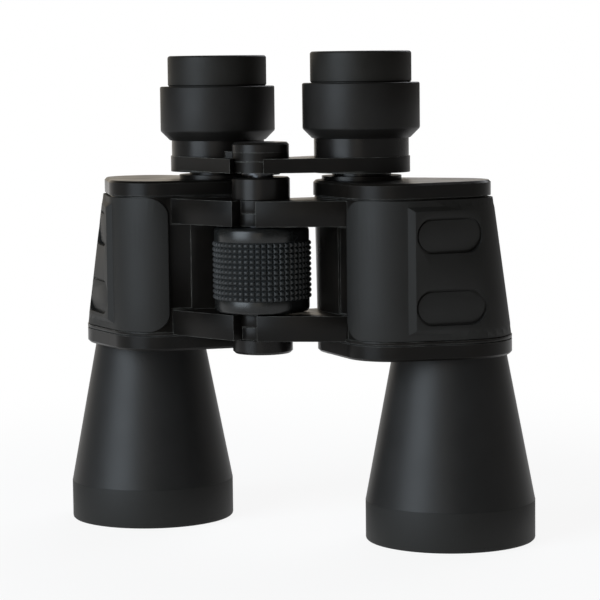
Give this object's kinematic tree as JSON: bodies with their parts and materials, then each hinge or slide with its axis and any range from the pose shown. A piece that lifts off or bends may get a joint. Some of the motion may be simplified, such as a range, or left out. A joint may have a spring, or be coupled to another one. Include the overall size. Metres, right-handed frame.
{
  "type": "binoculars",
  "caption": "Porro-prism binoculars with folding hinge arms, a knurled centre focus wheel, tapered objective barrels and rubber-armoured prism housings.",
  "frame": {"origin": "under the middle of the bounding box, on the plane of the two objective rims", "axes": "+X from the left half to the right half, +Y from the hinge side to the rear side, +Z from the objectives to the eyepieces"},
  "size_m": [0.177, 0.0729, 0.1692],
  "materials": {
    "satin_black_metal": "satin black paint",
    "soft_black_paint": "matte soft-touch black",
    "grip_rubber": "matte moulded rubber",
    "eyecup_rubber": "matte moulded rubber",
    "seal_rubber": "plain",
    "wheel_plastic": "semi-gloss black",
    "bare_aluminium": "turned, dark anodised",
    "screw_steel": "blackened",
    "polished_steel": "ground",
    "objective_glass": "coated, clear with a violet cast",
    "prism_glass": "polished",
    "eyepiece_glass": "coated, clear with a violet cast"
  },
  "bodies": {
    "left_half": {"left_housing": "satin_black_metal", "left_grip_cover": "grip_rubber", "left_top_plate": "satin_black_metal", "left_bottom_plate": "satin_black_metal", "left_seals": "seal_rubber", "left_plate_screws": "screw_steel", "left_objective_barrel": "soft_black_paint", "left_hood_band": "grip_rubber", "left_crown_lens": "objective_glass", "left_flint_lens": "objective_glass", "left_retaining_ring": "satin_black_metal", "left_upper_prism": "prism_glass", "left_lower_prism": "prism_glass", "left_prism_shelf": "bare_aluminium", "left_prism_clips": "screw_steel", "left_guide_tube": "satin_black_metal", "left_strap_lug": "satin_black_metal", "hinge_tube": "bare_aluminium", "hinge_collar": "satin_black_metal", "end_cap": "satin_black_metal"},
    "right_half": {"right_housing": "satin_black_metal", "right_grip_cover": "grip_rubber", "right_top_plate": "satin_black_metal", "right_bottom_plate": "satin_black_metal", "right_seals": "seal_rubber", "right_plate_screws": "screw_steel", "right_objective_barrel": "soft_black_paint", "right_hood_band": "grip_rubber", "right_crown_lens": "objective_glass", "right_flint_lens": "objective_glass", "right_retaining_ring": "satin_black_metal", "right_upper_prism": "prism_glass", "right_lower_prism": "prism_glass", "right_prism_shelf": "bare_aluminium", "right_prism_clips": "screw_steel", "right_guide_tube": "satin_black_metal", "right_strap_lug": "satin_black_metal"},
    "focus_wheel": {"wheel_hub": "wheel_plastic", "wheel_grip": "grip_rubber"},
    "left_eyepiece": {"focus_post": "polished_steel", "drive_key": "polished_steel", "bridge_cap": "satin_black_metal", "left_bridge_arm": "satin_black_metal", "left_ocular_sleeve": "satin_black_metal", "left_lens_barrel": "satin_black_metal", "left_field_lens": "eyepiece_glass", "left_eye_lens": "eyepiece_glass", "left_grip_ring": "soft_black_paint"},
    "right_eyepiece": {"right_bridge_arm": "satin_black_metal", "right_ocular_sleeve": "satin_black_metal"},
    "right_lens_cell": {"right_lens_barrel": "satin_black_metal", "right_field_lens": "eyepiece_glass", "right_eye_lens": "eyepiece_glass"},
    "dioptre_setting_ring": {"dioptre_ring": "soft_black_paint"},
    "left_eyecup_sleeve": {"left_eyecup": "eyecup_rubber"},
    "right_eyecup_sleeve": {"right_eyecup": "eyecup_rubber"}
  },
  "joints": [
    {"name": "interpupillary_fold", "type": "hinge", "parent": "left_half", "child": "right_half", "pos_m": [0, -0.01935, 0.095], "axis": [0, 0, -1], "range_deg": [0, 35]},
    {"name": "focus_turn", "type": "hinge", "parent": "left_half", "child": "focus_wheel", "pos_m": [0, -0.01935, 0.0945], "axis": [0, 0, 1], "range_deg": [-27.2, 315.2]},
    {"name": "left_focus_lift", "type": "slide", "parent": "left_half", "child": "left_eyepiece", "axis": [0, 0, 1], "range_m": [-0.0006, 0.007]},
    {"name": "right_focus_lift", "type": "slide", "parent": "right_half", "child": "right_eyepiece", "axis": [0, 0, 1], "range_m": [-0.0006, 0.007]},
    {"name": "dioptre_lift", "type": "slide", "parent": "right_eyepiece", "child": "right_lens_cell", "axis": [0, 0, 1], "range_m": [-0.0025, 0.0007]},
    {"name": "dioptre_turn", "type": "hinge", "parent": "right_lens_cell", "child": "dioptre_setting_ring", "pos_m": [0.028, 0.00315, 0.149], "axis": [0, 0, 1], "range_deg": [-93.9, 26.4]},
    {"name": "left_eyecup_push", "type": "slide", "parent": "left_eyepiece", "child": "left_eyecup_sleeve", "axis": [0, 0, -1], "range_m": [0, 0.007]},
    {"name": "right_eyecup_push", "type": "slide", "parent": "right_lens_cell", "child": "right_eyecup_sleeve", "axis": [0, 0, -1], "range_m": [0, 0.007]}
  ],
  "couplings": [
    {"joint": "focus_turn", "follows": "left_focus_lift", "rad_per_m": 785.4},
    {"joint": "right_focus_lift", "follows": "left_focus_lift", "ratio": 1},
    {"joint": "dioptre_turn", "follows": "dioptre_lift", "rad_per_m": 654.5}
  ]
}
